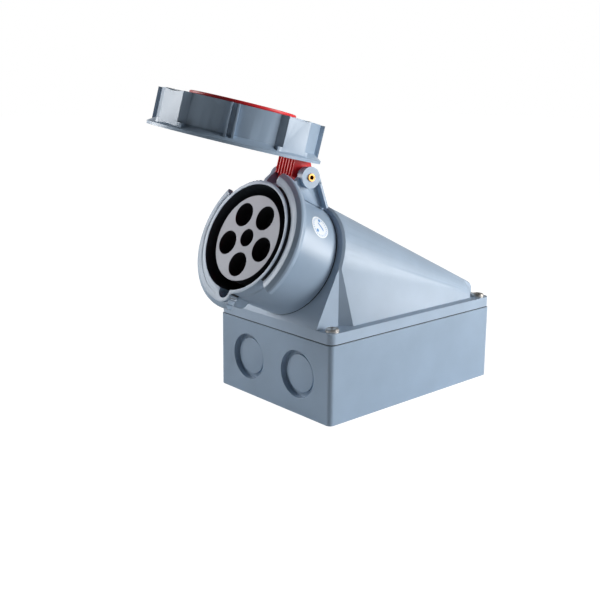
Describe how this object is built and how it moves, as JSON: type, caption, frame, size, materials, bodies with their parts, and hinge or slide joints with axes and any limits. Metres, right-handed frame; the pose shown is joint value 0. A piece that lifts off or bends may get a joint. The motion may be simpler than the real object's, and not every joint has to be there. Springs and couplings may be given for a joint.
{
  "type": "industrial wall socket",
  "caption": "Surface wall socket: box with cable knock-outs, sloping hood, tilted round mouth with ring of contacts, and a hinged lid with a bayonet locking ring.",
  "frame": {"origin": "middle of the flat back of the box, on the wall", "axes": "+Z out of the wall, +X to the right when the mouth is faced, +Y away from the mouth"},
  "size_m": [0.1208, 0.251, 0.217],
  "materials": {
    "grey_plastic": "satin moulded",
    "black_plastic": "satin moulded",
    "face_plastic": "satin moulded",
    "red_plastic": "semi-gloss moulded",
    "rubber": "matt",
    "brass": "turned",
    "steel": "plain"
  },
  "bodies": {
    "base": {"back_box": "grey_plastic", "corner_inserts": "brass", "box_gasket": "rubber", "hood": "grey_plastic", "cover_screws": "steel", "barrel": "grey_plastic", "barrel_gasket": "rubber", "barrel_screws": "steel", "contact_carrier": "black_plastic", "contact_face": "face_plastic", "hinge_pin": "brass", "earth_contact": "brass", "neutral_contact": "brass", "phase_contact_1": "brass", "phase_contact_2": "brass", "phase_contact_3": "brass", "pilot_contact": "brass"},
    "lid": {"lid_body": "red_plastic", "lid_cover": "red_plastic", "lid_screw": "steel", "lid_seal": "rubber"},
    "ring": {"bayonet_ring": "grey_plastic"}
  },
  "joints": [
    {"name": "lid_hinge", "type": "hinge", "parent": "base", "child": "lid", "pos_m": [0, -0.06414, 0.15724], "axis": [0.9903, -0.1256, 0.0599], "range_deg": [-30, 77.4]},
    {"name": "ring_turn", "type": "hinge", "parent": "lid", "child": "ring", "pos_m": [-0.00473, -0.10971, 0.18928], "axis": [0.1078, 0.2055, 0.9727], "range_deg": [0, 55]}
  ]
}
